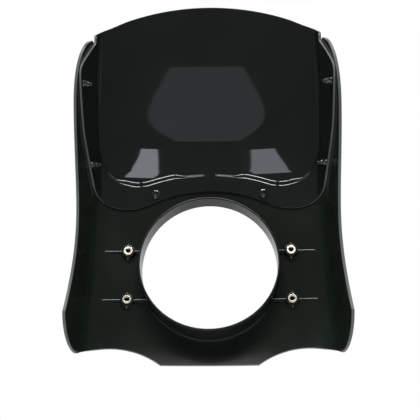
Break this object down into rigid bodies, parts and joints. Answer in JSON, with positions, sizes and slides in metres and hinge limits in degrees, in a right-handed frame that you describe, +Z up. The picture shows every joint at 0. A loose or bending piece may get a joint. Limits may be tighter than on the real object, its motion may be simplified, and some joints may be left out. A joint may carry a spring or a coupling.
{
  "type": "headlight cowl",
  "caption": "Moulded cowl that goes round a motorcycle headlamp, with a collared hole, side walls, bracket inserts and a screwed-on smoked windscreen.",
  "frame": {"origin": "on the headlamp hole's axis, at the rear rim of the collar", "axes": "-Y is the way the headlamp looks, +Y is the rider's side, +Z is up and X is across"},
  "size_m": [0.3304, 0.1583, 0.4129],
  "materials": {
    "moulded_shell": "gloss black, moulded through",
    "smoked_screen": "dark smoked acrylic, polished",
    "nickel": "bright nickel plate",
    "black_zinc": "black zinc plate",
    "black_nylon": "matt black nylon",
    "zinc": "zinc plate"
  },
  "bodies": {
    "root": {"cowl_shell": "moulded_shell", "windscreen": "smoked_screen", "threaded_inserts": "nickel", "screen_screws": "black_zinc", "head_washers": "black_nylon", "nut_washers": "zinc", "lock_nuts": "zinc"}
  },
  "joints": []
}
